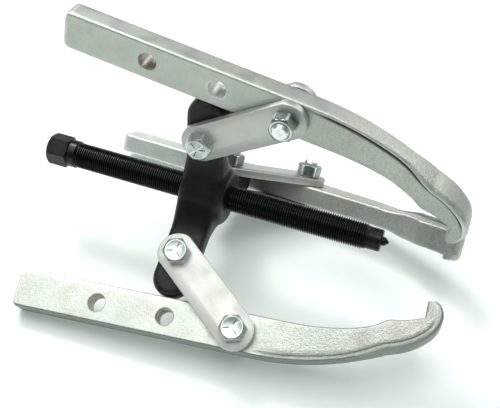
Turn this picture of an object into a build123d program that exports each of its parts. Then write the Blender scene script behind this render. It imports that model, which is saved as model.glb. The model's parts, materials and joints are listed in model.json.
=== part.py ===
"""Three-jaw adjustable gear puller, lying on two of its jaws.

A forcing screw runs through a three-armed yoke. Each arm carries a pair of
flat links on a cross bolt, and each pair of links carries a hooked jaw on a
second bolt. Units are millimetres and +Z is up from the bench.
"""

from build123d import *
import os
from math import cos, hypot, radians, sin

os.makedirs("parts", exist_ok=True)

# Lie of the tool on the bench. It stands on the ends of two jaw bolts and on
# the end of one jaw, which sets both small angles.
NOSE_UP = 1.16
LEAN = -0.95           # about the screw, as one bolt reaches further than the other
AXIS_X = -25.90        # arm bolts along X, which centres the tool on the origin
AXIS_Y = 1.93
AXIS_HEIGHT = 57.853   # screw axis above the bench, level with the arm bolts

# Forcing screw, 5/8-18 UNF, positions along its axis from the arm bolts
THREAD_D = 15.875
HEX_AF = 17.46
HEX_START = -105.5
HEX_END = -91.5
HEX_TURN = 11.0
COLLAR_D = 17.2
COLLAR_END = -86.0
THREAD_END = 102.0
PILOT_D = 13.5
PILOT_END = 110.6
POINT_D = 5.2
POINT_BORE_DEPTH = 9.0
POINT_SHOULDER = 112.6
POINT_TIP = 114.8
POINT_FIT = 0.04

# Yoke
BOSS_D = 36.0
BOSS_BACK = 13.0        # from the yoke's middle plane towards the hexagon
BOSS_FRONT = 16.0       # and towards the point
BOSS_BACK_EDGE = 1.2
BOSS_EDGE = 3.0
YOKE_BORE_D = 16.0
ARM_THICK = 12.7
ARM_WIDTH = 23.4
ARM_BOLT_R = 44.5
ARM_END_R = 58.0       # centre of the rounded end
ARM_EDGE = 2.0
ARM_BLEND = 7.0        # between an arm and the boss

# Links
LINK_PITCH = 57.0
LINK_WIDTH = 23.0
LINK_END_R = 12.0
LINK_THICK = 4.8
LINK_GAP = 6.6         # from the jaw's middle plane to a link's inner face
LINK_EDGE = 0.5

# Jaw, positions along the jaw from its link bolt
JAW_WIDTH = 23.4
JAW_THICK = 12.7
HOOK_THICK = 16.2
BAR_END = -135.4
HOLE_PITCH = 42.0
BAR_CORNER = 4.0
JAW_EDGE = 1.5         # rounding of the forged edges
BACK_START = 12.0      # where the back starts to curve
BACK_R = 160.0
BACK_END = 107.0
BELLY_START = 30.0     # where the inner edge starts to curve
BELLY_END = 70.0
BELLY_DROP = 4.9
BUMP_X = 81.5
BUMP_Y = -22.6
PAD_X = 86.0           # start of the thick pad that backs the hook
PAD_Y = -24.4
SEAT_X = 103.4         # the face that pulls on the gear
SEAT_TOP = -28.8
TOE_Y = -40.6
TOE_X = 107.0
TOE_FACE = 0.8         # how far the end face slants
TOE_CORNER = 1.5
SEAT_CORNER = 1.2
HOOK_OUT = 113.8       # furthest reach of the hook's back
HOOK_OUT_Y = -30.5
FLARE_START = 68.0
FLARE_END = 84.0

# Fasteners, 3/8 in
BOLT_D = 9.525
RUNNING_HOLE_D = 9.68
CLAMPED_HOLE_D = 9.60
SPARE_HOLE_D = 10.4
HEX_BOLT_AF = 14.29
HEAD_H = 6.1
NUT_H = 8.3
THREAD_PROUD = 2.4
HEX_CROWN = 1.5
CROWN_R = 6.3

# Rest position of each set: arm angle about the screw, then the slope of the
# links and of the jaw against the screw axis
ARM_ANGLE = {"top": 90.0, "front": 210.0, "rear": 330.0}
LINK_SLOPE = {"top": 31.9, "front": 35.2, "rear": 37.0}
JAW_SLOPE = {"top": -8.7, "front": -5.8, "rear": -4.0}

# Side of the set that each bolt head is on: +1 is along the plane's normal
ARM_HEAD_SIDE = {"top": 1, "front": -1, "rear": -1}
JAW_HEAD_SIDE = {"top": -1, "front": -1, "rear": -1}
BOLT_TURN = {"top": 10.0, "front": 25.0, "rear": 0.0}

TOOL = Plane(
    Pos(AXIS_X, AXIS_Y, AXIS_HEIGHT) * Rotation(LEAN, 0, 0) * Rotation(0, -NOSE_UP, 0)
)
AXIAL = Plane(origin=TOOL.origin, x_dir=TOOL.y_dir, z_dir=TOOL.x_dir)


def shifted(plane, x, y, turn):
    """The plane moved by x and y in itself, then turned about its normal."""
    return Plane(plane.location * Pos(x, y, 0) * Rotation(0, 0, turn))


def arm_plane(where):
    """Middle plane of one set: X along the screw, Y out along the arm."""
    return Plane(TOOL.location * Rotation(ARM_ANGLE[where], 0, 0))


def link_plane(where):
    """Origin on the arm bolt, X along the links towards the jaw bolt."""
    return shifted(arm_plane(where), 0, ARM_BOLT_R, LINK_SLOPE[where])


def jaw_plane(where):
    """Origin on the jaw bolt, X along the jaw towards its hook."""
    slope = radians(LINK_SLOPE[where])
    x = LINK_PITCH * cos(slope)
    y = ARM_BOLT_R + LINK_PITCH * sin(slope)
    return shifted(arm_plane(where), x, y, JAW_SLOPE[where])


def round_outline(part, plane, radius):
    """Round the edges all round a plate that was extruded from the plane."""
    through = Axis(plane.origin, plane.z_dir)
    walls = part.faces().filter_by(lambda face: abs(face.normal_at().dot(plane.z_dir)) < 0.01)
    fillet(walls.edges().filter_by(through, reverse=True), radius)


def facing(plane, side, turn):
    """The plane, or for side -1 the same plane seen from behind."""
    flipped = plane.location * Rotation(0 if side > 0 else 180, 0, 0)
    return Plane(flipped * Rotation(0, 0, turn))


# ---------------------------------------------------------------- screw

with BuildPart() as forcing_screw:
    with BuildSketch(AXIAL.offset(HEX_START)):
        RegularPolygon(HEX_AF / 2, 6, major_radius=False, rotation=HEX_TURN)
    extrude(amount=HEX_END - HEX_START)
    with BuildSketch(TOOL):
        with BuildLine():
            hex_corner = HEX_AF / 3**0.5
            Polyline(
                (HEX_START, 0),
                (HEX_START, HEX_AF / 2 - 0.4),
                (HEX_START + 1.2, hex_corner),
                (HEX_END - 1.0, hex_corner),
                (HEX_END, HEX_AF / 2),
                (HEX_END, 0),
                close=True,
            )
        make_face()
    revolve(axis=Axis(TOOL.origin, TOOL.x_dir), mode=Mode.INTERSECT)
    with BuildSketch(AXIAL.offset(HEX_END)):
        Circle(COLLAR_D / 2)
    extrude(amount=COLLAR_END - HEX_END)
    with BuildSketch(AXIAL.offset(COLLAR_END)):
        Circle(THREAD_D / 2)
    extrude(amount=THREAD_END - COLLAR_END)
    thread_rim = forcing_screw.edges().filter_by(GeomType.CIRCLE)
    chamfer(thread_rim.sort_by(Axis(TOOL.origin, TOOL.x_dir))[-1], 0.9)
    with BuildSketch(AXIAL.offset(THREAD_END)):
        Circle(PILOT_D / 2)
    extrude(amount=PILOT_END - THREAD_END)
    pilot_rim = forcing_screw.edges().filter_by(GeomType.CIRCLE)
    chamfer(pilot_rim.sort_by(Axis(TOOL.origin, TOOL.x_dir))[-1], 0.5)
    with BuildSketch(AXIAL.offset(PILOT_END)):
        Circle(POINT_D / 2 + POINT_FIT)
    extrude(amount=-POINT_BORE_DEPTH, mode=Mode.SUBTRACT)
forcing_screw.part.label = "forcing_screw"
export_step(forcing_screw.part, "parts/forcing_screw.step")

# Hard centre that presses on the shaft while the screw turns round it
with BuildPart() as screw_point:
    with BuildSketch(TOOL):
        with BuildLine():
            Polyline(
                (PILOT_END - POINT_BORE_DEPTH + 0.1, 0),
                (PILOT_END - POINT_BORE_DEPTH + 0.1, POINT_D / 2),
                (POINT_SHOULDER, POINT_D / 2),
                (POINT_TIP - 0.3, 0.6),
                (POINT_TIP, 0),
                close=True,
            )
        make_face()
    revolve(axis=Axis(TOOL.origin, TOOL.x_dir))
screw_point.part.label = "screw_point"
export_step(screw_point.part, "parts/screw_point.step")

# ----------------------------------------------------------------- yoke


def make_arm(where):
    """One flat arm of the yoke, with a round end."""
    with BuildPart() as arm:
        with BuildSketch(arm_plane(where)):
            with Locations((0, ARM_END_R / 2)):
                Rectangle(ARM_WIDTH, ARM_END_R)
            with Locations((0, ARM_END_R)):
                Circle(ARM_WIDTH / 2)
        extrude(amount=ARM_THICK / 2, both=True)
        round_outline(arm, arm_plane(where), ARM_EDGE)
    return arm.part


def leaves_boss(edge):
    """True for the short edges where an arm meets the round of the boss."""
    points = [TOOL.to_local_coords(edge @ part) for part in (0, 0.5, 1)]
    on_round = all(abs(hypot(at.Y, at.Z) - BOSS_D / 2) < 0.01 for at in points)
    return on_round and edge.length < ARM_WIDTH


arms = [make_arm(where) for where in ARM_ANGLE]
with BuildPart() as yoke:
    add(arms)
    with BuildSketch(AXIAL.offset(-BOSS_BACK)):
        Circle(BOSS_D / 2)
    extrude(amount=BOSS_BACK + BOSS_FRONT)
    ends = yoke.faces().sort_by(Axis(TOOL.origin, TOOL.x_dir))
    fillet(ends[-1].edges(), BOSS_EDGE)
    fillet(ends[0].edges(), BOSS_BACK_EDGE)
    fillet(yoke.edges().filter_by(leaves_boss), ARM_BLEND)
    for where in ARM_ANGLE:
        with Locations(shifted(arm_plane(where), 0, ARM_BOLT_R, 0).location):
            Hole(RUNNING_HOLE_D / 2)
    with Locations(AXIAL.location):
        Hole(YOKE_BORE_D / 2)
yoke.part.label = "yoke"
export_step(yoke.part, "parts/yoke.step")

# ---------------------------------------------------------------- links


def make_link(name, where, side):
    """One flat link, on the side of its arm and jaw that side names."""
    near = LINK_GAP if side > 0 else -LINK_GAP - LINK_THICK
    with BuildPart() as link:
        with BuildSketch(link_plane(where).offset(near)):
            with Locations((LINK_PITCH / 2, 0)):
                Rectangle(LINK_PITCH, LINK_WIDTH)
            with Locations((0, 0), (LINK_PITCH, 0)):
                Circle(LINK_END_R)
            with Locations((0, 0), (LINK_PITCH, 0)):
                Circle(CLAMPED_HOLE_D / 2, mode=Mode.SUBTRACT)
        extrude(amount=LINK_THICK)
        through = Axis(link_plane(where).origin, link_plane(where).z_dir)
        flats = link.faces().sort_by(through)
        rims = flats[0].outer_wire().edges() + flats[-1].outer_wire().edges()
        chamfer(rims, LINK_EDGE)
    link.part.label = name
    export_step(link.part, f"parts/{name}.step")


# ----------------------------------------------------------------- jaws


def corner_edge(part, plane, x, y):
    """The edge that runs through the thickness at a corner of the outline."""
    return part.edges().sort_by_distance(plane.from_local_coords((x, y, 0)))[0]


def make_jaw(name, where):
    """One forged jaw: its side outline cut to its plan outline."""
    plane = jaw_plane(where)
    half = JAW_WIDTH / 2
    back_y = half - BACK_R + (BACK_R**2 - (BACK_END - BACK_START) ** 2) ** 0.5
    with BuildPart() as jaw:
        with BuildSketch(plane):
            with BuildLine():
                Line((BAR_END, half), (BACK_START, half))
                back = TangentArc((BACK_START, half), (BACK_END, back_y), tangent=(1, 0))
                heel = TangentArc(back @ 1, (HOOK_OUT, HOOK_OUT_Y), tangent=back % 1)
                TangentArc(heel @ 1, (TOE_X, TOE_Y), tangent=heel % 1)
                Line((TOE_X, TOE_Y), (SEAT_X, TOE_Y + TOE_FACE))
                Line((SEAT_X, TOE_Y + TOE_FACE), (SEAT_X, SEAT_TOP))
                belly = TangentArc(
                    (BELLY_START, -half), (BELLY_END, -half - BELLY_DROP), tangent=(1, 0)
                )
                bump = TangentArc(belly @ 1, (BUMP_X, BUMP_Y), tangent=belly % 1)
                pad = TangentArc(bump @ 1, (PAD_X, PAD_Y), tangent=bump % 1)
                TangentArc(pad @ 1, (SEAT_X, SEAT_TOP), tangent=pad % 1)
                Line((BELLY_START, -half), (BAR_END, -half))
                Line((BAR_END, -half), (BAR_END, half))
            make_face()
        extrude(amount=HOOK_THICK / 2, both=True)
        plan = Plane(origin=plane.origin, x_dir=plane.x_dir, z_dir=-plane.y_dir)
        with BuildSketch(plan):
            with BuildLine():
                side = Line((BAR_END, JAW_THICK / 2), (FLARE_START, JAW_THICK / 2))
                middle = ((FLARE_START + FLARE_END) / 2, (JAW_THICK + HOOK_THICK) / 4)
                rise = TangentArc(side @ 1, middle, tangent=(1, 0))
                level = TangentArc(middle, (FLARE_END, HOOK_THICK / 2), tangent=rise % 1)
                Line(level @ 1, (2 * HOOK_OUT, HOOK_THICK / 2))
                Line((2 * HOOK_OUT, HOOK_THICK / 2), (2 * HOOK_OUT, 0))
                Line((BAR_END, 0), (BAR_END, JAW_THICK / 2))
                Line((2 * HOOK_OUT, 0), (BAR_END, 0))
            make_face()
            mirror(about=Plane.XZ)
        extrude(amount=JAW_WIDTH * 3, both=True, mode=Mode.INTERSECT)
        fillet(corner_edge(jaw, plane, BAR_END, half), BAR_CORNER)
        fillet(corner_edge(jaw, plane, BAR_END, -half), BAR_CORNER)
        fillet(corner_edge(jaw, plane, SEAT_X, SEAT_TOP), SEAT_CORNER)
        fillet(corner_edge(jaw, plane, SEAT_X, TOE_Y + TOE_FACE), TOE_CORNER)
        fillet(corner_edge(jaw, plane, TOE_X, TOE_Y), TOE_CORNER)
        round_outline(jaw, plane, JAW_EDGE)
        with Locations(plane.location):
            Hole(RUNNING_HOLE_D / 2)
        with Locations(
            shifted(plane, -HOLE_PITCH, 0, 0).location,
            shifted(plane, -2 * HOLE_PITCH, 0, 0).location,
        ):
            Hole(SPARE_HOLE_D / 2)
    jaw.part.label = name
    export_step(jaw.part, f"parts/{name}.step")


# ------------------------------------------------------------ fasteners


def crowned_hex(plane, height):
    """A hexagon on the plane with its top corners turned to a cone."""
    corner = HEX_BOLT_AF / 3**0.5
    side = Plane(origin=plane.origin, x_dir=plane.x_dir, z_dir=-plane.y_dir)
    with BuildPart() as prism:
        with BuildSketch(plane):
            RegularPolygon(HEX_BOLT_AF / 2, 6, major_radius=False)
        extrude(amount=height)
        with BuildSketch(side):
            with BuildLine():
                Polyline(
                    (0, 0),
                    (corner, 0),
                    (corner, height - HEX_CROWN),
                    (CROWN_R, height),
                    (0, height),
                    close=True,
                )
            make_face()
        revolve(axis=Axis(plane.origin, plane.z_dir), mode=Mode.INTERSECT)
    return prism.part


def make_bolt(name, plane, side, turn):
    """Hex bolt with its head on one side of the set."""
    seat = facing(plane, side, turn).offset(LINK_GAP + LINK_THICK)
    length = 2 * (LINK_GAP + LINK_THICK) + NUT_H + THREAD_PROUD
    head = crowned_hex(seat, HEAD_H)
    with BuildPart() as bolt:
        add(head)
        with BuildSketch(seat):
            Circle(BOLT_D / 2)
        extrude(amount=-length)
        tail = bolt.edges().filter_by(GeomType.CIRCLE)
        chamfer(tail.sort_by(Axis(seat.origin, seat.z_dir))[0], 0.8)
    bolt.part.label = name
    export_step(bolt.part, f"parts/{name}.step")


def make_nut(name, plane, side, turn):
    """Hex nut against the other side of the set from the bolt's head."""
    seat = facing(plane, -side, turn).offset(LINK_GAP + LINK_THICK)
    blank = crowned_hex(seat, NUT_H)
    with BuildPart() as nut:
        add(blank)
        with BuildSketch(seat):
            Circle(CLAMPED_HOLE_D / 2)
        extrude(amount=NUT_H, mode=Mode.SUBTRACT)
    nut.part.label = name
    export_step(nut.part, f"parts/{name}.step")


# --------------------------------------------------------- the three sets

for where in ARM_ANGLE:
    arm_bolt_at = link_plane(where)
    jaw_bolt_at = shifted(link_plane(where), LINK_PITCH, 0, 0)
    arm_side = ARM_HEAD_SIDE[where]
    jaw_side = JAW_HEAD_SIDE[where]
    turn = BOLT_TURN[where]
    make_jaw(f"jaw_{where}", where)
    make_link(f"link_{where}_a", where, 1)
    make_link(f"link_{where}_b", where, -1)
    make_bolt(f"arm_bolt_{where}", arm_bolt_at, arm_side, turn)
    make_nut(f"arm_nut_{where}", arm_bolt_at, arm_side, turn)
    make_bolt(f"jaw_bolt_{where}", jaw_bolt_at, jaw_side, turn)
    make_nut(f"jaw_nut_{where}", jaw_bolt_at, jaw_side, turn)
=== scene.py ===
"""Looks of a three-jaw gear puller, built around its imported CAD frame.

Shapes are modelled in millimetres in the plane of their own part, and those
planes come from the frame's joints and mounts.
"""

import json
from math import atan2, cos, pi, radians, sin, sqrt, tan

import bmesh
import bpy
import numpy as np
from mathutils import Matrix, Vector, noise


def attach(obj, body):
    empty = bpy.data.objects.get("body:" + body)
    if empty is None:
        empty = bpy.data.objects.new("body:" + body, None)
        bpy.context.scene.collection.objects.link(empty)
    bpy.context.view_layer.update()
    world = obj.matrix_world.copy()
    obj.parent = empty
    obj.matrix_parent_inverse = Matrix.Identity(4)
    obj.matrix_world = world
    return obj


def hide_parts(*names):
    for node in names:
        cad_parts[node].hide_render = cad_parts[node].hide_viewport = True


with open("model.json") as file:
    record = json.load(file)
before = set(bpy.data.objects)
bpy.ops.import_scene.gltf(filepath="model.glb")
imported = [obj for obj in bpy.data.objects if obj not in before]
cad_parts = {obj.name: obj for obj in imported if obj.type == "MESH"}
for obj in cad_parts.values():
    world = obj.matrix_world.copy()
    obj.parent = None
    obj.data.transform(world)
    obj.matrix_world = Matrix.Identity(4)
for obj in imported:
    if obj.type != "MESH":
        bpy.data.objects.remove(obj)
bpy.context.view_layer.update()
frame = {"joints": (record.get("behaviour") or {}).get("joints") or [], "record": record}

MM = 0.001
SETS = ("top", "front", "rear")

# ------------------------------------------------------------ sizes, in mm

THREAD_D, THREAD_PITCH, THREAD_DEPTH = 15.875, 1.4111, 0.82
HEX_START, HEX_END, HEX_AF, HEX_TURN = -105.5, -91.5, 17.46, 11.0
HEX_DISH, HEX_DISH_R, HEX_CHAMFER = 0.5, 6.2, 0.9
COLLAR_R, COLLAR_END = 8.6, -86.0
THREAD_END = 102.0
PILOT_R, PILOT_END = 6.75, 110.6
POINT_R, POINT_SHOULDER, POINT_TIP = 2.6, 112.6, 114.8

BOSS_R, BOSS_BACK, BOSS_FRONT, BOSS_EDGE = 18.0, 13.0, 16.0, 4.0
ARM_HALF_WIDTH, ARM_HALF_THICK, ARM_EDGE = 11.7, 6.35, 2.6
ARM_END_R, ARM_BOLT_R = 58.0, 44.5
BORE_R, BORE_LIP, ARM_LIP = 8.0, 0.8, 0.4
MELT_SIZE, SOFTENING = 0.85, 40
# Distance out, half width and half thickness along the swelling root of an arm
ROOT_STATIONS = (
    (0.0, 13.0, 15.0),
    (9.0, 13.0, 14.0),
    (15.0, 12.8, 11.6),
    (20.0, 12.4, 9.2),
    (25.0, 11.9, 7.4),
    (31.0, 11.5, 6.2),
)

LINK_PITCH, LINK_HALF_WIDTH, LINK_END_R = 57.0, 11.5, 12.0
LINK_THICK, LINK_GAP, LINK_EDGE = 4.8, 6.6, 0.55

JAW_HALF_WIDTH, JAW_HALF_THICK, HOOK_HALF_THICK = 11.7, 6.35, 8.1
BAR_END, BAR_CORNER, BAR_EDGE, TOE_ROUND = -135.4, 4.0, 1.5, 1.4
BACK_START, BACK_R, BACK_END = 12.0, 160.0, 107.0
BELLY_START, BELLY_END, BELLY_DROP = 30.0, 70.0, 5.1
BUMP, PAD = (81.5, -22.6), (86.0, -24.4)
SEAT_X, SEAT_TOP, SEAT_CORNER = 103.4, -28.8, 1.2
TOE, TOE_FRONT = (107.0, -39.2), (103.4, -38.4)
HOOK_OUT = (113.1, -29.3)
FLARE_START, FLARE_END = 68.0, 84.0
HOLE_PITCH, SPARE_HOLE_R, PIN_HOLE_R = 42.0, 5.2, 4.84
PIN_LIP, SPARE_LIP = 0.3, 0.35

# The raised rim along the back of a hook, the bulge of its heel and the groove
# between rim and face, given by the reach from the rim and the share of its depth
FLANGE_START, FLANGE_FULL, FLANGE_RISE = 62.0, 90.0, 1.9
FLANGE_ROUND = (1.3, 2.3)
FLANGE_FROM_TOE = (3.0, 22.0)
HEEL_START, HEEL_END, HEEL_BULGE = 86.0, 113.6, 2.1
GROOVE = ((0.2, 0.8), (0.6, 1.0), (1.4, 1.0), (1.9, 0.35), (2.3, 0.0))
GROOVE_DEPTH, GROOVE_START, GROOVE_FULL = 0.75, 4.0, 45.0
# Where the painted shadow in the crease reaches full strength, and the reach from the toe over
# which crease and shadow fade in
CREASE_SHADOW_FULL, CREASE_FROM_TOE = 24.0, (10.0, 20.0)
# Width in mm of the band along a jaw's outer edge that takes painted shade
EDGE_SHADE_BAND = 1.2

# The waves of a forged jaw: lengths, and heights as a share of its thickness
FORGED_START, FORGED_FULL = 10.0, 45.0
LONG_WAVE, SHORT_WAVE = 9.0, 3.0
LONG_WAVE_HEIGHT, SHORT_WAVE_HEIGHT = 0.016, 0.006

# Points along the pieces of a jaw's outline and round its cross-section
BAR_POINTS, BODY_POINTS, HEEL_POINTS, TOE_POINTS = 46, 64, 26, 16
BAR_SPACING, BACK_SPLIT = 1.25, 98.0
CORNER_POINTS, FACE_POINTS, EDGE_POINTS = 6, 10, 4

BOLT_R, BOLT_PITCH, BOLT_AF = 4.7625, 1.5875, 14.29
HEAD_H, NUT_H, THREAD_PROUD = 6.1, 8.3, 2.4
CROWN_R, HEAD_DISH, HEAD_RIM = 6.2, 0.2, 0.5
BOLT_THREAD_SHOWN, BOLT_THREAD_DEPTH = 3.2, 0.42
BOLT_POINT, NUT_CHAMFER = 0.7, 0.7
# Distance out, half width and height of the stations along one raised mark
MARK_STATIONS = (
    (1.6, 0.22, -0.05),
    (1.6, 0.22, 0.08),
    (1.8, 0.28, 0.14),
    (5.0, 0.28, 0.14),
    (5.2, 0.22, 0.08),
    (5.2, 0.22, -0.05),
)

ARM_HEAD_SIDE = {"top": 1, "front": -1, "rear": -1}
JAW_HEAD_SIDE = {"top": -1, "front": -1, "rear": -1}
BOLT_TURN = {"top": 10.0, "front": 25.0, "rear": 0.0}

# ----------------------------------------------------------------- colours

LIGHT_PLATE, DARK_PLATE = (0.588, 0.622, 0.565), (0.51, 0.54, 0.49)
# The warm tone of the plate, and painted shade for a jaw's outer edge
WARM_PLATE, EDGE_SHADE_PLATE = (0.54, 0.50, 0.42), (0.16, 0.175, 0.16)
PITTED, SPECK = (0.24, 0.25, 0.22), (0.20, 0.18, 0.14)
# Black painted shadow for the hook's crease, and rust round the holes
CREASE_SHADOW, RUST = (0.035, 0.035, 0.03), (0.22, 0.105, 0.04)
# Painted highlight along sharp edges
EDGE_HIGHLIGHT = (0.90, 0.90, 0.86)
# The bolts take a lighter copy of the zinc and the nuts a darker one, as painted light and shade
LIGHT_BOLT, DARK_BOLT = (0.64, 0.72, 0.67), (0.36, 0.42, 0.39)
LIGHT_SHADED_NUT, DARK_SHADED_NUT = (0.36, 0.42, 0.39), (0.18, 0.22, 0.20)
# Near-black zinc on the grade marks, as painted shadow along the raised lines
LIGHT_MARK_SHADOW, DARK_MARK_SHADOW = (0.12, 0.135, 0.125), (0.08, 0.09, 0.085)
BLACK, FADED_BLACK = (0.004, 0.005, 0.005), (0.011, 0.011, 0.0105)
OXIDE, FADED_OXIDE = (0.005, 0.0055, 0.0055), (0.012, 0.0125, 0.012)
# Rubbed black on the yoke's edges, and bare steel on the screw's edges as wear and as painted
# glint
RUBBED_BLACK, BARE_STEEL = (0.12, 0.10, 0.085), (0.50, 0.52, 0.49)
FLOOR_TINTS = (0.88, 0.93, 0.91), (0.90, 0.94, 0.92)
FLOOR_GLOW, FLOOR_GLOW_STRENGTH = (0.93, 1.0, 0.99, 1.0), 0.11
SKY, SKY_STRENGTH = (0.88, 1.0, 0.97, 1.0), 0.24

# Painted light and shade: share of the plate's brightness at the bar and at the hook of each jaw
PLATE_LIGHT_TONE = {"top": (0.86, 0.93), "front": (1.18, 1.12), "rear": (1.40, 0.96)}
# Painted light and shade: brightness of the plate on each pair of links
LINK_LIGHT_TONE = {"top": 0.62, "front": 0.80, "rear": 0.46}
STAINED_HOLES = {"top": (2,), "front": (1, 2), "rear": (2,)}
# Pits darkening each hook, which on the rear jaw are also painted shade
HOOK_PITS_AND_SHADE = {"top": 0.08, "front": 0.10, "rear": 0.60}
# Strength of the painted shadow in each jaw's crease
CREASE_SHADOW_STRENGTH = {"top": 1.0, "front": 0.45, "rear": 0.5}
# Painted shade along the outer edge, on the front jaw only
EDGE_SHADE_STRENGTH = {"top": 0.0, "front": 0.75, "rear": 0.0}

# ----------------------------------------------------------------- planes

JOINT = {j["name"]: j for j in frame["joints"]}
MOUNT = {m["name"]: m for m in frame["record"]["mounts"]}


def plane(origin, x, z):
    """Matrix of a plane from its origin, its x axis and a vector near its z."""
    x = Vector(x).normalized()
    z = Vector(z)
    z = (z - z.dot(x) * x).normalized()
    matrix = Matrix((x, z.cross(x), z)).transposed().to_4x4()
    matrix.translation = Vector(origin)
    return matrix


def spot(name):
    return Vector(JOINT[name]["pos_m"])


SCREW_AXIS = Vector(JOINT["screw_turn"]["axis"])
MIDDLE = spot("screw_turn")
TOOL = plane(MIDDLE, SCREW_AXIS, spot("links_open_top") - MIDDLE)


def arm_plane(where):
    """X along the screw and Y out along the arm."""
    return plane(MIDDLE, SCREW_AXIS, JOINT[f"links_open_{where}"]["axis"])


def link_plane(where):
    """Origin on the arm bolt, X towards the jaw bolt."""
    start = spot(f"links_open_{where}")
    return plane(start, spot(f"jaw_in_{where}") - start, JOINT[f"links_open_{where}"]["axis"])


def jaw_plane(where):
    """Origin on the jaw bolt, X along the jaw towards its hook."""
    start = spot(f"jaw_in_{where}")
    far = Vector(MOUNT[f"reach_hole_{where}_far"]["pos_m"])
    return plane(start, start - far, JOINT[f"links_open_{where}"]["axis"])


def moved(matrix, x=0.0, y=0.0, z=0.0):
    return matrix @ Matrix.Translation(Vector((x, y, z)) * MM)


def turned(matrix, angle, axis="Z"):
    return matrix @ Matrix.Rotation(radians(angle), 4, axis)


# ------------------------------------------------------------ mesh helpers


def add_mesh(name, vertices, faces, where, smooth=32.0):
    """A mesh object from points in mm of a plane, stored in the shared frame."""
    mesh = bpy.data.meshes.new(name)
    mesh.from_pydata([where @ (Vector(v) * MM) for v in vertices], [], faces)
    mesh.validate()
    obj = bpy.data.objects.new(name, mesh)
    bpy.context.scene.collection.objects.link(obj)
    fix_normals(obj)
    shade(obj, smooth)
    return obj


def fix_normals(obj):
    work = bmesh.new()
    work.from_mesh(obj.data)
    bmesh.ops.recalc_face_normals(work, faces=work.faces)
    work.to_mesh(obj.data)
    work.free()


def shade(obj, angle):
    """Smooth shading that stays sharp at edges steeper than the angle."""
    obj.data.polygons.foreach_set("use_smooth", [True] * len(obj.data.polygons))
    obj.data.set_sharp_from_angle(angle=radians(angle))


def rings(name, loops, where, smooth=32.0):
    """A closed skin over loops that all have the same number of points."""
    count = len(loops[0])
    vertices = [point for loop in loops for point in loop]
    faces = []
    for i in range(len(loops) - 1):
        for k in range(count):
            n = (k + 1) % count
            a, b = i * count, (i + 1) * count
            faces.append((a + k, a + n, b + n, b + k))
    faces.append(tuple(range(count)))
    faces.append(tuple(range(len(vertices) - count, len(vertices))))
    return add_mesh(name, vertices, faces, where, smooth)


def hex_radius(angle, across_flats):
    """Distance from the middle of a hexagon to its side in one direction."""
    sixth = pi / 3
    from_flat = (angle + sixth / 2) % sixth - sixth / 2
    return across_flats / 2 / cos(from_flat)


def lathe(name, profile, where, segments=96, hexagon=None, turn=0.0, smooth=32.0):
    """Turns (z, radius) stations about Z. A third value cuts a station to the hexagon."""
    loops = []
    for station in profile:
        z, radius = station[:2]
        loop = []
        for k in range(segments):
            angle = 2 * pi * k / segments
            r = radius
            if len(station) > 2:
                r = min(radius, hex_radius(angle - radians(turn), hexagon))
            loop.append((r * cos(angle), r * sin(angle), z))
        loops.append(loop)
    return rings(name, loops, where, smooth)


def join(name, pieces):
    """One object from several, named anew."""
    bpy.ops.object.select_all(action="DESELECT")
    for piece in pieces:
        piece.select_set(True)
    bpy.context.view_layer.objects.active = pieces[0]
    bpy.ops.object.join()
    pieces[0].name = name
    return pieces[0]


def apply_modifiers(obj):
    bpy.context.view_layer.update()
    graph = bpy.context.evaluated_depsgraph_get()
    mesh = bpy.data.meshes.new_from_object(obj.evaluated_get(graph))
    obj.modifiers.clear()
    obj.data = mesh
    return obj


def cut(obj, cutters):
    """Takes the cutters away from the object and removes them."""
    for cutter in cutters:
        step = obj.modifiers.new("cut", "BOOLEAN")
        step.operation = "DIFFERENCE"
        step.solver = "EXACT"
        step.object = cutter
    apply_modifiers(obj)
    for cutter in cutters:
        bpy.data.objects.remove(cutter)
    return obj


def hole_cutter(where, radius, half_length, lip):
    """A cylinder whose ends flare at 45 degrees, from a lip inside both faces."""
    past = 2.0
    profile = [
        (-half_length - past, radius + lip + past),
        (-half_length + lip, radius),
        (half_length - lip, radius),
        (half_length + past, radius + lip + past),
    ]
    return lathe("cutter", profile, where, segments=64)


def dress(obj, body, slot, look, *nodes):
    """Paints one finished piece, ties it to its body and hides the CAD nodes it replaces. The slot
    is not used.
    """
    obj.data.materials.clear()
    obj.data.materials.append(look)
    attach(obj, body)
    if nodes:
        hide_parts(*nodes)
    return obj


# --------------------------------------------------------------- materials


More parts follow.
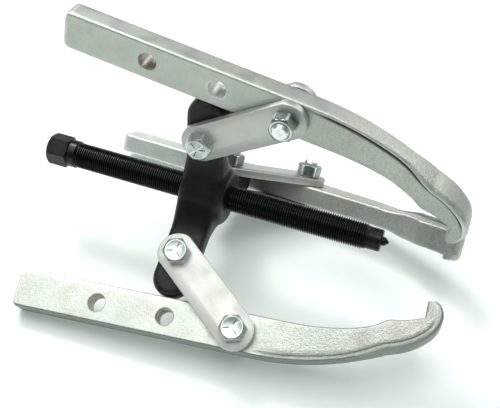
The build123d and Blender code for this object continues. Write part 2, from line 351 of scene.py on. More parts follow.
class Look:
    """A node material, built one node at a time."""

    def __init__(self, name, where=None):
        self.material = bpy.data.materials.new(name)
        self.material.use_nodes = True
        self.tree = self.material.node_tree
        self.shader = self.tree.nodes["Principled BSDF"]
        self.place = self.node("ShaderNodeTexCoord").outputs["Object"]
        if where is not None:
            self.place = self.in_plane(where)

    def node(self, kind, **settings):
        made = self.tree.nodes.new(kind)
        for key, value in settings.items():
            setattr(made, key, value)
        return made

    def link(self, source, target):
        if isinstance(source, bpy.types.NodeSocket):
            self.tree.links.new(source, target)
        else:
            target.default_value = source

    def math(self, operation, a, b):
        made = self.node("ShaderNodeMath", operation=operation)
        self.link(a, made.inputs[0])
        self.link(b, made.inputs[1])
        return made.outputs[0]

    def vector(self, operation, a, b):
        made = self.node("ShaderNodeVectorMath", operation=operation)
        self.link(a, made.inputs[0])
        self.link(b, made.inputs[1])
        return made.outputs["Value" if operation in ("DISTANCE", "DOT_PRODUCT") else "Vector"]

    def in_plane(self, where):
        """The point's coordinates in a part's own plane, in metres."""
        from_origin = self.vector("SUBTRACT", self.place, tuple(where.translation))
        joined = self.node("ShaderNodeCombineXYZ")
        for k in range(3):
            axis = tuple(where.to_3x3().col[k])
            self.link(self.vector("DOT_PRODUCT", from_origin, axis), joined.inputs[k])
        return joined.outputs[0]

    def noise(self, scale, detail=4.0, rough=0.55, stretch=None):
        made = self.node("ShaderNodeTexNoise")
        source = self.place
        if stretch:
            source = self.vector("MULTIPLY", source, stretch)
        self.link(source, made.inputs["Vector"])
        made.inputs["Scale"].default_value = scale
        made.inputs["Detail"].default_value = detail
        made.inputs["Roughness"].default_value = rough
        return made.outputs["Fac"]

    def cells(self, scale):
        """Distance to the nearest of a scatter of points, in cells."""
        made = self.node("ShaderNodeTexVoronoi", feature="F1")
        self.link(self.place, made.inputs["Vector"])
        made.inputs["Scale"].default_value = scale
        return made.outputs["Distance"]

    def span(self, value, low, high, to_low=0.0, to_high=1.0):
        """Maps low..high to to_low..to_high and holds the ends."""
        made = self.node("ShaderNodeMapRange")
        self.link(value, made.inputs["Value"])
        made.inputs["From Min"].default_value = low
        made.inputs["From Max"].default_value = high
        made.inputs["To Min"].default_value = to_low
        made.inputs["To Max"].default_value = to_high
        return made.outputs["Result"]

    def mix(self, share, a, b):
        made = self.node("ShaderNodeMix", data_type="RGBA")
        self.link(share, made.inputs["Factor"])
        for value, socket in ((a, made.inputs["A"]), (b, made.inputs["B"])):
            self.link((*value, 1.0) if isinstance(value, tuple) else value, socket)
        return made.outputs["Result"]

    def along(self):
        """Distance along the part's own X axis, in metres."""
        made = self.node("ShaderNodeSeparateXYZ")
        self.link(self.place, made.inputs[0])
        return made.outputs["X"]

    def attribute(self, name):
        """A value stored on the points of the mesh."""
        return self.node("ShaderNodeAttribute", attribute_name=name).outputs["Fac"]

    def edges(self, low, high):
        """Rises from 0 to 1 between two sharpnesses. Flats are at 0.5 and hollows below."""
        convex = self.node("ShaderNodeNewGeometry").outputs["Pointiness"]
        return self.span(convex, low, high)

    def bump(self, height, depth, below=None):
        """Relief of a depth in mm, on top of the relief below it."""
        made = self.node("ShaderNodeBump")
        made.inputs["Strength"].default_value = 1.0
        made.inputs["Distance"].default_value = depth * MM
        self.link(height, made.inputs["Height"])
        if below is not None:
            self.link(below, made.inputs["Normal"])
        return made.outputs["Normal"]

    def finish(self, color, metallic, roughness, normal, sheen=0.5):
        """Wires the shader up. The sheen sets how strongly it reflects head on."""
        inputs = self.shader.inputs
        self.link(color, inputs["Base Color"])
        self.link(metallic, inputs["Metallic"])
        self.link(roughness, inputs["Roughness"])
        self.link(normal, inputs["Normal"])
        inputs["Specular IOR Level"].default_value = sheen
        return self.material


def toned(color, tone):
    """The colour at a share of its brightness."""
    return tuple(tone * part for part in color)


def plated_look(name, light_tones, forged, where=None, stained=(), pits_and_shade=0.0):
    """Satin nickel plate.

    Its tones are painted light and shade that lift or dim it from bar to hook, forged is the
    strength of its grain, stained lists the holes with a tarnished ring, and the hook darkens with
    pits, which on the rear jaw are also painted shade.
    """
    look = Look(name, where)
    grain = look.noise(1000.0, detail=3.0, rough=0.7)
    curved = look.span(look.along(), 0.006, 0.040, 0.4, 1.0) if where else 1.0

    cloud = look.span(look.noise(22.0, detail=5.0, rough=0.6), 0.3, 0.7)
    # Painted light and shade: the plate is lit brighter or darker at the bar and at the hook
    near, far = [look.mix(cloud, toned(DARK_PLATE, t), toned(LIGHT_PLATE, t)) for t in light_tones]
    color = look.mix(look.span(look.along(), -0.130, 0.060), near, far) if where else near
    warm = look.span(look.noise(45.0, detail=3.0), 0.5, 0.75, 0.0, 0.35)
    color = look.mix(warm, color, WARM_PLATE)
    salt = look.math("MULTIPLY", look.span(grain, 0.54, 0.38), curved)
    color = look.mix(look.math("MULTIPLY", salt, 0.42 * forged), color, PITTED)
    specks = look.span(look.cells(330.0), 0.0, 0.16, 0.5, 0.0)
    speckled = look.math("MULTIPLY", specks, look.span(look.noise(60.0), 0.5, 0.62))
    color = look.mix(speckled, color, SPECK)
    # Painted highlight along the plate's sharp edges
    color = look.mix(look.math("MULTIPLY", look.edges(0.515, 0.56), 0.6), color, EDGE_HIGHLIGHT)
    if where:
        # Pits darken the hook, partly as painted shade
        hook = look.span(look.along(), 0.080, 0.094, 0.0, pits_and_shade)
        pits = look.span(look.noise(420.0, detail=5.0, rough=0.7), 0.36, 0.62)
        color = look.mix(look.math("MULTIPLY", hook, pits), color, PITTED)
        # Painted shade along the jaw's outer edge
        color = look.mix(look.attribute("edge_shade"), color, EDGE_SHADE_PLATE)
        # Painted shadow in the hook's crease
        color = look.mix(look.attribute("crease"), color, CREASE_SHADOW)
    for x in stained:
        color = look.mix(rust_ring(look, x), color, RUST)

    rough = look.span(look.noise(90.0), 0.3, 0.7, 0.38, 0.54)
    peel = look.math("SUBTRACT", 1.0, look.cells(1100.0))
    hammered = look.noise(700.0, detail=4.0, rough=0.65)
    height = look.math("ADD", hammered, look.math("MULTIPLY", peel, 0.4))
    normal = look.bump(look.math("MULTIPLY", height, curved), 0.30 * forged)
    return look.finish(color, 0.85, rough, look.bump(grain, 0.05, normal))


def rust_ring(look, x):
    """Share of rust in and round the hole at a place along a jaw, in mm."""
    flat = look.vector("MULTIPLY", look.place, (1.0, 1.0, 0.0))
    far = look.vector("DISTANCE", flat, (x * MM, 0.0, 0.0))
    ring = look.span(far, (SPARE_HOLE_R - 0.3) * MM, (SPARE_HOLE_R + 1.3) * MM, 1.0, 0.0)
    stain = look.math("MULTIPLY", ring, look.span(look.noise(150.0), 0.36, 0.6))
    return look.math("MULTIPLY", stain, 0.85)


def zinc_look(name, light, shadow, bright_edges=True):
    """Bright zinc with fine turning marks and a slight bloom, and a painted highlight along its
    sharp edges unless turned off.
    """
    look = Look(name)
    color = look.mix(look.span(look.noise(160.0), 0.35, 0.65), shadow, light)
    if bright_edges:
        # Painted highlight along sharp edges
        color = look.mix(look.edges(0.51, 0.56), color, EDGE_HIGHLIGHT)
    rough = look.span(look.noise(300.0), 0.3, 0.7, 0.24, 0.42)
    lines = look.noise(900.0, detail=2.0, rough=0.5, stretch=(1.0, 1.0, 0.2))
    return look.finish(color, 0.9, rough, look.bump(lines, 0.025))


def black_look(name):
    """Satin black over forged steel, rubbed brown-grey on the high spots."""
    look = Look(name)
    cloud = look.span(look.noise(40.0, detail=5.0, rough=0.6), 0.4, 0.7)
    color = look.mix(cloud, BLACK, FADED_BLACK)
    patches = look.span(look.noise(120.0), 0.4, 0.6)
    rubbed = look.math("MULTIPLY", look.edges(0.505, 0.55), patches)
    color = look.mix(rubbed, color, RUBBED_BLACK)
    rough = look.span(look.noise(150.0), 0.3, 0.7, 0.30, 0.42)
    grain = look.noise(320.0, detail=5.0, rough=0.6)
    return look.finish(color, 0.2, rough, look.bump(grain, 0.12), sheen=0.3)


def oxide_look(name, sheen, wear_and_glint):
    """Black oxide on machined steel, bright on its sharp edges as wear and as a painted glint."""
    look = Look(name)
    color = look.mix(look.span(look.noise(55.0), 0.35, 0.7), OXIDE, FADED_OXIDE)
    patches = look.span(look.noise(90.0), 0.42, 0.62, 0.0, wear_and_glint)
    # Bare steel on the sharp edges, as wear and as painted glint on the thread's crests
    bright_edges = look.math("MULTIPLY", look.edges(0.56, 0.70), patches)
    color = look.mix(bright_edges, color, BARE_STEEL)
    rough = look.span(look.noise(240.0), 0.3, 0.7, 0.22, 0.40)
    lines = look.noise(700.0, detail=2.0, rough=0.5, stretch=(0.2, 1.0, 1.0))
    return look.finish(color, 0.6, rough, look.bump(lines, 0.03), sheen=sheen)


# Each jaw gets its own copy of the plate, lit or shaded by its painted light and shade
JAW_LOOK = {
    where: plated_look(
        f"jaw_{where}_plate",
        PLATE_LIGHT_TONE[where],
        forged=1.0,
        where=jaw_plane(where),
        stained=[-k * HOLE_PITCH for k in STAINED_HOLES[where]],
        pits_and_shade=HOOK_PITS_AND_SHADE[where],
    )
    for where in SETS
}
# Each pair of links gets its own copy of the plate, at a brightness painted as light and shade
LINK_LOOK = {
    where: plated_look(f"link_{where}_plate", (LINK_LIGHT_TONE[where], LINK_LIGHT_TONE[where]), forged=0.2)
    for where in SETS
}
BOLT_LOOK = zinc_look("bolt_zinc", LIGHT_BOLT, DARK_BOLT)
# The nuts' darker zinc is painted shade
NUT_LOOK = zinc_look("nut_zinc", LIGHT_SHADED_NUT, DARK_SHADED_NUT)
MARK_SHADOW_LOOK = zinc_look("zinc_marks_shadow", LIGHT_MARK_SHADOW, DARK_MARK_SHADOW, bright_edges=False)
BLACK_LOOK = black_look("forged_black")
OXIDE_LOOK = oxide_look("black_oxide", sheen=0.6, wear_and_glint=0.25)
THREAD_LOOK = oxide_look("thread_oxide", sheen=0.1, wear_and_glint=0.06)
POINT_LOOK = oxide_look("hard_steel", sheen=0.5, wear_and_glint=0.2)

# ------------------------------------------------------------------- screw


def thread(name, where, start, end, major, pitch, depth, segments):
    """A helical thread skin along X, fading out over its first and last turn.

    The profile gives the share of the pitch and of the depth across one turn.
    """
    profile = ((0.0, 0.0), (0.14, 0.0), (0.42, 1.0), (0.66, 1.0))
    steps = int((end - start) / pitch * segments)
    vertices, faces = [], []
    for i in range(steps + segments + 1):
        angle = 2 * pi * i / segments
        fade = min(1.0, i / segments, (steps - i) / segments)
        for share, deep in profile:
            x = min(start + pitch * (i / segments + share - 0.5), end)
            crest = major / 2 - depth * (1 - max(fade, 0.0))
            r = min(crest, major / 2 - depth * deep)
            vertices.append((max(x, start), r * cos(angle), r * sin(angle)))
    width = len(profile)
    for i in range(steps):
        for k in range(width - 1):
            a = i * width + k
            faces.append((a, a + 1, a + width + 1, a + width))
        a = i * width + width - 1
        b = (i + segments) * width
        faces.append((a, b, b + width, a + width))
    return add_mesh(name, vertices, faces, where, 25.0)


def hexagon_stations(low, high, across_flats, top_r, bottom_r=None, steps=6):
    """Stations of a hexagon whose ends are turned to 30 degree cones."""
    corner = across_flats / sqrt(3) + 0.05
    stations = []
    if bottom_r:
        for i in range(steps + 1):
            r = bottom_r + (corner - bottom_r) * i / steps
            stations.append((low + (r - bottom_r) * tan(pi / 6), r, True))
    else:
        stations.append((low, corner, True))
    for i in range(steps + 1):
        r = corner - (corner - top_r) * i / steps
        stations.append((high - (r - top_r) * tan(pi / 6), r, True))
    return stations


def make_screw():
    """The hexagon, collar and pilot in one turned piece, the thread and the point."""
    along = turned(TOOL, 90, "Y")
    minor = THREAD_D / 2 - THREAD_DEPTH
    head = [
        (HEX_START + HEX_DISH, 0.2),
        (HEX_START + HEX_DISH, HEX_DISH_R - 0.6),
        (HEX_START, HEX_DISH_R),
    ]
    flat = HEX_AF / 2
    head += hexagon_stations(HEX_START, HEX_END, HEX_AF, flat - 0.5, flat - HEX_CHAMFER)
    neck = [
        (HEX_END, COLLAR_R - 0.5),
        (HEX_END + 0.5, COLLAR_R),
        (COLLAR_END - 0.6, COLLAR_R),
        (COLLAR_END, THREAD_D / 2 - 0.3),
        (COLLAR_END + 0.6, minor + 0.02),
        (THREAD_END - 0.8, minor + 0.02),
        (THREAD_END, PILOT_R + 0.15),
        (THREAD_END + 0.4, PILOT_R),
        (PILOT_END - 0.6, PILOT_R),
        (PILOT_END, PILOT_R - 0.6),
        (PILOT_END, POINT_R + 0.25),
        (PILOT_END - 0.4, POINT_R + 0.05),
        (PILOT_END - 0.4, 0.2),
    ]
    body = lathe(
        "screw_body", head + neck, along, hexagon=HEX_AF, turn=HEX_TURN + 30, smooth=30.0
    )
    dress(body, "forcing_screw", "screw_steel", OXIDE_LOOK, "forcing_screw")
    size = (THREAD_D, THREAD_PITCH, THREAD_DEPTH)
    ridge = thread("screw_thread", TOOL, COLLAR_END + 0.3, THREAD_END - 0.2, *size, segments=40)
    dress(ridge, "forcing_screw", "screw_steel", THREAD_LOOK)
    tip = [
        (PILOT_END - 1.0, POINT_R),
        (POINT_SHOULDER - 0.2, POINT_R),
        (POINT_SHOULDER + 0.1, POINT_R - 0.25),
        (POINT_TIP - 0.4, 0.75),
        (POINT_TIP - 0.1, 0.4),
        (POINT_TIP, 0.05),
    ]
    point = lathe("screw_point", tip, along, segments=48)
    dress(point, "screw_point", "point_steel", POINT_LOOK, "screw_point")


# -------------------------------------------------------------------- yoke


def slab(name, where, half_width, half_thick, length, edge):
    """A round-ended plate from the origin out along Y, with rolled edges."""
    loops = []
    for side in (-1, 1):
        for i in range(5):
            t = (i / 4 if side < 0 else 1 - i / 4) * pi / 2
            inset = edge * (1 - sin(t))
            z = side * (half_thick - edge + edge * cos(t))
            loops.append(round_end(half_width - inset, length, z))
    return rings(name, loops, where)


def root(where, count=32):
    """The part of an arm that thickens to meet the boss."""
    loops = []
    for out, half_width, half_thick in ROOT_STATIONS:
        loop = []
        for k in range(count):
            angle = 2 * pi * k / count
            x, z = cos(angle), sin(angle)
            stretch = (x**6 + z**6) ** (-1 / 6)
            loop.append((half_width * x * stretch, out, half_thick * z * stretch))
        loops.append(loop)
    return rings("root", loops, where)


def round_end(half_width, length, z, count=28):
    """Outline of a round-ended bar from the origin out along Y."""
    loop = [(-half_width, 0.0, z)]
    for i in range(count + 1):
        angle = pi - pi * i / count
        loop.append((half_width * cos(angle), length + half_width * sin(angle), z))
    loop.append((half_width, 0.0, z))
    return loop


def boss_profile(steps=6):
    """Stations of the boss, with both rims rolled."""
    rim = BOSS_R - BOSS_EDGE
    rolled = []
    for i in range(steps + 1):
        t = i / steps * pi / 2
        rolled.append((BOSS_EDGE * (1 - cos(t)), rim + BOSS_EDGE * sin(t)))
    back = [(inset - BOSS_BACK, r) for inset, r in rolled]
    front = [(BOSS_FRONT - inset, r) for inset, r in reversed(rolled)]
    return [(-BOSS_BACK, 0.2)] + back + front + [(BOSS_FRONT, 0.2)]


def make_yoke():
    """Boss and arms melted together and smoothed like a forging."""
    along = turned(TOOL, 90, "Y")
    size = (ARM_HALF_WIDTH, ARM_HALF_THICK, ARM_END_R, ARM_EDGE)
    pieces = [lathe("yoke", boss_profile(), along)]
    for where in SETS:
        pieces += [slab("arm", arm_plane(where), *size), root(arm_plane(where))]
    yoke = join("yoke_forging", pieces)
    melt = yoke.modifiers.new("melt", "REMESH")
    melt.mode = "VOXEL"
    melt.voxel_size = MELT_SIZE * MM
    soften = yoke.modifiers.new("soften", "SMOOTH")
    soften.factor = 0.5
    soften.iterations = SOFTENING
    apply_modifiers(yoke)
    middle = moved(along, z=(BOSS_FRONT - BOSS_BACK) / 2)
    cutters = [hole_cutter(middle, BORE_R, (BOSS_BACK + BOSS_FRONT) / 2, BORE_LIP)]
    for where in SETS:
        place = moved(arm_plane(where), y=ARM_BOLT_R)
        cutters.append(hole_cutter(place, PIN_HOLE_R, ARM_HALF_THICK, ARM_LIP))
    cut(yoke, cutters)
    shade(yoke, 40.0)
    dress(yoke, "yoke", "yoke_black", BLACK_LOOK, "yoke")


# ------------------------------------------------------------------- links


def stadium(inset, z, steps=20):
    """Outline of a link, moved in by the inset."""
    half = LINK_HALF_WIDTH - inset
    radius = LINK_END_R - inset
    spread = atan2(half, sqrt(radius * radius - half * half))
    loop = []
    for middle, facing_angle in ((LINK_PITCH, 0.0), (0.0, pi)):
        for i in range(steps + 1):
            angle = facing_angle - spread + 2 * spread * i / steps
            loop.append((middle + radius * cos(angle), radius * sin(angle), z))
    return loop


def make_link(name, where, side):
    """One flat link with rolled edges, on one side of the arm and the jaw."""
    low = LINK_GAP if side > 0 else -LINK_GAP - LINK_THICK
    rolled = []
    for i in range(4):
        t = i / 3 * pi / 2
        rolled.append((LINK_EDGE * (1 - sin(t)), LINK_EDGE * (1 - cos(t))))
    loops = [stadium(inset, low + lift) for inset, lift in rolled]
    loops += [stadium(inset, low + LINK_THICK - lift) for inset, lift in reversed(rolled)]
    link = rings(name, loops, link_plane(where))
    middle = low + LINK_THICK / 2
    holes = [
        hole_cutter(moved(link_plane(where), x, 0, middle), PIN_HOLE_R, LINK_THICK / 2, 0.25)
        for x in (0.0, LINK_PITCH)
    ]
    cut(link, holes)
    shade(link, 30.0)
    dress(link, f"links_{where}", "link_steel", LINK_LOOK[where], name)


# -------------------------------------------------------------------- jaws


def arc(start, tangent, end, count):
    """Points of the arc that leaves start along the tangent and meets end, and its last way."""
    s, e = Vector(start), Vector(end)
    t = Vector(tangent).normalized()
    across = Vector((-t.y, t.x))
    chord = e - s
    offset = chord.length_squared / (2 * chord.dot(across))
    centre = s + across * offset
    first = atan2(s.y - centre.y, s.x - centre.x)
    sweep = 2 * atan2(chord.dot(across), chord.dot(t))
    radius = abs(offset)
    points = []
    for i in range(count + 1):
        angle = first + sweep * i / count
        points.append(Vector((centre.x + radius * cos(angle), centre.y + radius * sin(angle))))
    last = first + sweep
    side = 1.0 if sweep > 0 else -1.0
    return points, Vector((-sin(last), cos(last))) * side


def resample(points, count):
    """The same line with evenly spaced points."""
    line = np.array([tuple(p) for p in points])
    steps = np.linalg.norm(np.diff(line, axis=0), axis=1)
    reach = np.concatenate([[0.0], np.cumsum(steps)])
    at = np.linspace(0, reach[-1], count)
    return np.stack([np.interp(at, reach, line[:, k]) for k in (0, 1)], axis=1)


def jaw_outline():
    """Matching points along the outer and the inner edge of a jaw."""
    half = JAW_HALF_WIDTH
    back_y = half - BACK_R + sqrt(BACK_R**2 - (BACK_END - BACK_START) ** 2)
    back, way = arc((BACK_START, half), (1, 0), (BACK_END, back_y), 60)
    heel, way = arc((BACK_END, back_y), way, HOOK_OUT, 20)
    toe, way = arc(HOOK_OUT, way, TOE, 16)
    belly, way = arc((BELLY_START, -half), (1, 0), (BELLY_END, -half - BELLY_DROP), 24)
    bump, way = arc((BELLY_END, -half - BELLY_DROP), way, BUMP, 14)
    pad, way = arc(BUMP, way, PAD, 10)
    seat_start = (SEAT_X - SEAT_CORNER, SEAT_TOP)
    seat, way = arc(PAD, way, seat_start, 12)
    corner, way = arc(seat_start, (1, 0), (SEAT_X, SEAT_TOP - SEAT_CORNER), 6)

    spread = np.linspace(0, 1, BAR_POINTS) ** BAR_SPACING
    bar_x = BAR_END + (BACK_START - BAR_END) * spread
    outer = [np.stack([bar_x, np.full(BAR_POINTS, half)], axis=1)]
    inner = [np.stack([bar_x, np.full(BAR_POINTS, -half)], axis=1)]
    body = [(BACK_START, -half), (BELLY_START, -half)] + belly + bump + pad
    outer.append(resample([p for p in back if p.x < BACK_SPLIT], BODY_POINTS)[1:])
    inner.append(resample(body, BODY_POINTS)[1:])
    heel_side = [p for p in back if p.x > BACK_SPLIT - 1.0] + heel[1:]
    outer.append(resample(heel_side, HEEL_POINTS)[1:])
    inner.append(resample(seat + corner[1:4], HEEL_POINTS)[1:])
    outer.append(resample(toe, TOE_POINTS)[1:])
    inner.append(resample(corner[3:] + [Vector(TOE_FRONT)], TOE_POINTS)[1:])
    return np.concatenate(outer), np.concatenate(inner)


def ramp(x, start, full):
    """A smooth step from 0 at start to 1 at full."""
    t = min(1.0, max(0.0, (x - start) / (full - start)))
    return t * t * (3 - 2 * t)


def half_thickness(x):
    """Half the thickness of a jaw: the bar, a smooth flare, then the hook."""
    return JAW_HALF_THICK + (HOOK_HALF_THICK - JAW_HALF_THICK) * ramp(x, FLARE_START, FLARE_END)


def cap_loss(distance, radius):
    """How far a rounded end draws in at some distance from its tip."""
    d = min(max(distance, 0.0), radius)
    return radius - sqrt(max(radius * radius - (radius - d) ** 2, 0.0))


def face_line(low, high, v, groove):
    """Points across one wide face, with the groove beside its outer edge."""
    side = 1 if v > 0 else -1
    line = [(high - reach, v - side * groove * deep) for reach, deep in GROOVE]
    flat_end = high - GROOVE[-1][0]
    steps = FACE_POINTS - len(GROOVE) + 1
    line += [(flat_end + (low - flat_end) * i / steps, v) for i in range(1, steps)]
    return line if v > 0 else line[::-1]


def section(low, high, top, rise, outer_edge, inner_edge, groove):
    """Loop of (u, v) round one cross-section, u from the inner to the outer edge."""
    loop = []
    for side_u, side_v, start in ((1, 1, 0.0), (-1, 1, pi / 2), (-1, -1, pi), (1, -1, 3 * pi / 2)):
        a, c = outer_edge if side_u > 0 else inner_edge
        u, v = (high, top + rise) if side_u > 0 else (low, top)
        for i in range(CORNER_POINTS):
            t = start + pi / 2 * i / (CORNER_POINTS - 1)
            loop.append((u - side_u * a + a * cos(t), side_v * (v - c) + c * sin(t)))
        if side_u == side_v:
            loop += face_line(low + inner_edge[0], high - outer_edge[0], side_v * top, groove)
        else:
            steps = EDGE_POINTS + 1
            loop += [(u, side_v * (v - c) * (1 - 2 * i / steps)) for i in range(1, steps)]
    return loop


def groove_shadow(count, depth):
    """How dark each point of a cross-section is painted, as shadow: only the groove holds black.
    """
    first = CORNER_POINTS
    shade_of = [0.0] * count
    for k, (_, deep) in enumerate(GROOVE):
        shade_of[first + k] = deep * depth
        shade_of[count // 2 + first + FACE_POINTS - 1 - k] = deep * depth
    return shade_of


def forged(at, v, seed):
    """A surface point of a jaw, pushed in and out by the waves of its forging."""
    strength = ramp(at.x, FORGED_START, FORGED_FULL)
    here = Vector((at.x, at.y, v))
    wave = LONG_WAVE_HEIGHT * noise.noise(here / LONG_WAVE + Vector((seed, 0, 0)))
    ripple = SHORT_WAVE_HEIGHT * noise.noise(here / SHORT_WAVE + Vector((0, seed, 0)))
    return (at.x, at.y, v * (1 + strength * (wave + ripple)))


def jaw_section(x, outer, inner, tip):
    """Cross-section between two matching points at x, and the share of painted shadow in its
    crease there.
    """
    from_start = (outer.x + inner.x) / 2 - BAR_END
    from_toe = (outer - tip).length
    flange = ramp(x, FLANGE_START, FLANGE_FULL)
    crease = ramp(from_toe, *CREASE_FROM_TOE)
    loss_u = cap_loss(from_start, BAR_CORNER) + cap_loss(from_toe, TOE_ROUND)
    loss_v = cap_loss(from_start, BAR_EDGE) + cap_loss(from_toe, TOE_ROUND)
    loop = section(
        loss_u,
        (outer - inner).length - loss_u,
        half_thickness(x) - loss_v,
        FLANGE_RISE * flange * ramp(from_toe, *FLANGE_FROM_TOE),
        [BAR_EDGE + more * flange for more in FLANGE_ROUND],
        (BAR_EDGE, BAR_EDGE),
        GROOVE_DEPTH * ramp(x, GROOVE_START, GROOVE_FULL) * crease,
    )
    return loop, crease * ramp(x, GROOVE_START, CREASE_SHADOW_FULL)


def heel_bulge(x):
    """How far the heel stands out past the drawn outline, in mm."""
    share = (x - HEEL_START) / (HEEL_END - HEEL_START)
    return HEEL_BULGE * sin(pi * min(1.0, max(0.0, share)))


def point_values(obj, name, values):
    """Stores one number for each point of a mesh, for its material to read."""
    obj.data.attributes.new(name, "FLOAT", "POINT").data.foreach_set("value", values)


def make_jaw(where, seed):
    """A forged jaw with its hook's rim and crease, and its three holes, with painted shadow in the
    crease and painted shade along its outer edge.
    """
    outline = [(Vector(o), Vector(n)) for o, n in zip(*jaw_outline())]
    tip = outline[-1][0]
    loops, crease_shadows, edge_shades = [], [], []
    for edge, inner in outline:
        x = max(edge.x, inner.x)
        up = (edge - inner).normalized()
        outer = edge + up * heel_bulge(x)
        loop, crease = jaw_section(x, outer, inner, tip)
        band_start = (outer - inner).length - EDGE_SHADE_BAND
        loops.append([forged(inner + up * u, v, seed) for u, v in loop])
        # Painted shadow in the groove beside the hook's rim
        crease_shadows += groove_shadow(len(loop), CREASE_SHADOW_STRENGTH[where] * crease)
        # Painted shade on the band along the outer edge
        edge_shades += [EDGE_SHADE_STRENGTH[where] if u > band_start else 0.0 for u, v in loop]
    place = jaw_plane(where)
    jaw = rings(f"jaw_{where}_forging", loops, place, 38.0)
    point_values(jaw, "crease", crease_shadows)
    point_values(jaw, "edge_shade", edge_shades)
    holes = [hole_cutter(place, PIN_HOLE_R, JAW_HALF_THICK, PIN_LIP)]
    for k in (1, 2):
        spare = moved(place, -k * HOLE_PITCH)
        holes.append(hole_cutter(spare, SPARE_HOLE_R, JAW_HALF_THICK, SPARE_LIP))
    cut(jaw, holes)
    shade(jaw, 38.0)
    dress(jaw, f"jaw_{where}", "jaw_steel", JAW_LOOK[where], f"jaw_{where}")


# --------------------------------------------------------------- fasteners


def grade_marks(name, where, top):
    """Three raised radial lines on a bolt head."""
    pieces = []
    for k in range(3):
        line = turned(where, 90 + 120 * k)
        loops = []
        for r, half, lift in MARK_STATIONS:
            high, low = top + lift, top - 0.1
            loops.append([(r, -half, high), (r, half, high), (r, half, low), (r, -half, low)])
        pieces.append(rings("mark", loops, line))
    return join(name, pieces)


def seat_on(place, side, turn):
    """Plane on the outer face of the link that is on the given side of the part."""
    facing = turned(place, 0 if side > 0 else 180, "X")
    return moved(turned(facing, turn), z=LINK_GAP + LINK_THICK)


def make_bolt(name, body, place, side, turn):
    """A hexagon bolt with its head on one side, cut thread rings and grade marks."""
    seat = seat_on(place, side, turn)
    floor = HEAD_H - HEAD_DISH
    dish = [(floor, 0.1), (floor, CROWN_R - 0.9), (HEAD_H, CROWN_R - HEAD_RIM)]
    head = hexagon_stations(0.0, HEAD_H, BOLT_AF, CROWN_R)[::-1]
    tail = -2 * (LINK_GAP + LINK_THICK) - NUT_H - THREAD_PROUD
    shank = [(0.0, BOLT_R), (tail + BOLT_THREAD_SHOWN + 0.2, BOLT_R)]
    z = tail + BOLT_THREAD_SHOWN
    while z > tail + BOLT_POINT:
        groove = 0.5 - 0.5 * cos(2 * pi * z / BOLT_PITCH)
        shank.append((z, BOLT_R - BOLT_THREAD_DEPTH * groove))
        z -= BOLT_PITCH / 8
    shank += [(tail + BOLT_POINT, BOLT_R - 0.3), (tail, BOLT_R - 0.95), (tail, 0.1)]
    bolt = lathe(name, dish + head + shank, seat, hexagon=BOLT_AF, smooth=30.0)
    dress(bolt, body, "bolt_zinc", BOLT_LOOK, name)
    marks = grade_marks(f"{name}_marks", seat, floor)
    # The marks are near black, painted shadow along the raised lines
    dress(marks, body, "bolt_zinc", MARK_SHADOW_LOOK)


def make_nut(name, body, place, side, turn):
    """The nut of a bolt whose head is on the given side."""
    bore = BOLT_R + 0.06
    outside = hexagon_stations(0.0, NUT_H, BOLT_AF, CROWN_R, CROWN_R + 0.3)
    inside = [(NUT_H, bore + 0.75), (NUT_H - NUT_CHAMFER, bore), (0.0, bore)]
    seat = seat_on(place, -side, turn)
    nut = lathe(name, outside + inside, seat, hexagon=BOLT_AF, smooth=30.0)
    remove_caps(nut)
    dress(nut, body, "nut_zinc", NUT_LOOK, name)


def remove_caps(obj):
    """Opens both ends of a lathed piece and joins its first loop to its last."""
    work = bmesh.new()
    work.from_mesh(obj.data)
    caps = [f for f in work.faces if len(f.verts) > 4]
    bmesh.ops.delete(work, geom=caps, context="FACES_ONLY")
    open_edges = [e for e in work.edges if e.is_boundary]
    bmesh.ops.bridge_loops(work, edges=open_edges)
    bmesh.ops.recalc_face_normals(work, faces=work.faces)
    work.to_mesh(obj.data)
    work.free()
    shade(obj, 30.0)


# -------------------------------------------------------------------- build

make_screw()
make_yoke()
for seed, where in enumerate(SETS):
    body = f"links_{where}"
    place = link_plane(where)
    far_place = moved(place, LINK_PITCH)
    turn = BOLT_TURN[where]
    make_jaw(where, 7.3 * seed)
    make_link(f"link_{where}_a", where, 1)
    make_link(f"link_{where}_b", where, -1)
    make_bolt(f"arm_bolt_{where}", body, place, ARM_HEAD_SIDE[where], turn)
    make_nut(f"arm_nut_{where}", body, place, ARM_HEAD_SIDE[where], turn)
    make_bolt(f"jaw_bolt_{where}", body, far_place, JAW_HEAD_SIDE[where], turn)
    make_nut(f"jaw_nut_{where}", body, far_place, JAW_HEAD_SIDE[where], turn)

# -------------------------------------------------------------------- stage

FLOOR_SIZE = 6.0


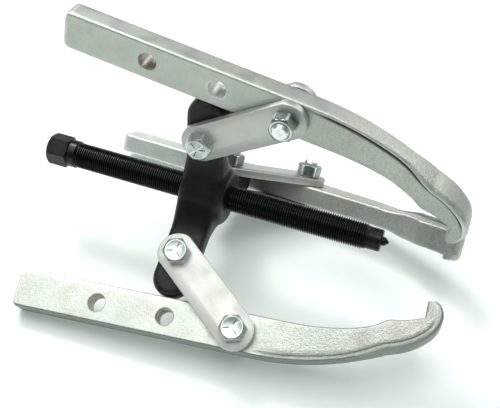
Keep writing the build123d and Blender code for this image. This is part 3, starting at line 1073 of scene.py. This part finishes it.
def make_floor():
    """A plain pale floor that glows slightly, as a lit sheet does."""
    bpy.ops.mesh.primitive_plane_add(size=FLOOR_SIZE, location=(0, 0, 0))
    ground = bpy.context.active_object
    ground.name = "floor"
    look = Look("white_floor")
    tint = look.mix(look.noise(3.0), *FLOOR_TINTS)
    look.finish(tint, 0.0, 0.9, look.bump(look.noise(60.0), 0.02))
    look.shader.inputs["Emission Color"].default_value = FLOOR_GLOW
    look.shader.inputs["Emission Strength"].default_value = FLOOR_GLOW_STRENGTH
    ground.data.materials.append(look.material)


def area_light(name, position, aim, size, watts):
    """A square light. Its place, its aim and its size are in metres."""
    lamp = bpy.data.lights.new(name, "AREA")
    lamp.shape = "SQUARE"
    lamp.size = size
    lamp.energy = watts
    obj = bpy.data.objects.new(name, lamp)
    bpy.context.scene.collection.objects.link(obj)
    way = Vector(aim) - Vector(position)
    obj.location = position
    obj.rotation_euler = way.to_track_quat("-Z", "Y").to_euler()


# Camera in the tool's own frame, in mm, and the point it looks at
CAMERA_AT = Vector((148.39, -389.47, 365.78))
CAMERA_AIM = Vector((27.27, 4.22, -4.40))
CAMERA_UP = Vector((-0.2669, 0.6153, 0.7417))
LENS, SENSOR = 65.34, 36.0


def make_camera():
    lens = bpy.data.cameras.new("camera")
    lens.sensor_width = SENSOR
    lens.lens = LENS
    camera = bpy.data.objects.new("camera", lens)
    bpy.context.scene.collection.objects.link(camera)
    turn = TOOL.to_3x3()
    back = -(turn @ (CAMERA_AIM - CAMERA_AT)).normalized()
    right = (turn @ CAMERA_UP).cross(back).normalized()
    matrix = Matrix((right, back.cross(right), back)).transposed().to_4x4()
    matrix.translation = TOOL @ (CAMERA_AT * MM)
    camera.matrix_world = matrix
    bpy.context.scene.camera = camera


def make_sky():
    """An even, slightly cool light from all round."""
    world = bpy.data.worlds.new("studio")
    world.use_nodes = True
    light = world.node_tree.nodes["Background"].inputs
    light["Color"].default_value = SKY
    light["Strength"].default_value = SKY_STRENGTH
    bpy.context.scene.world = world


make_floor()
make_sky()
area_light("top", (-0.28, -0.10, 1.42), aim=(0.0, 0.0, 0.05), size=1.5, watts=17.0)
area_light("key", (-0.75, 0.55, 1.25), aim=(0.0, 0.0, 0.05), size=0.4, watts=9.0)
area_light("back", (0.62, 0.90, 0.85), aim=(0.05, 0.0, 0.08), size=0.6, watts=4.0)
make_camera()
bpy.context.scene.view_settings.view_transform = "Standard"
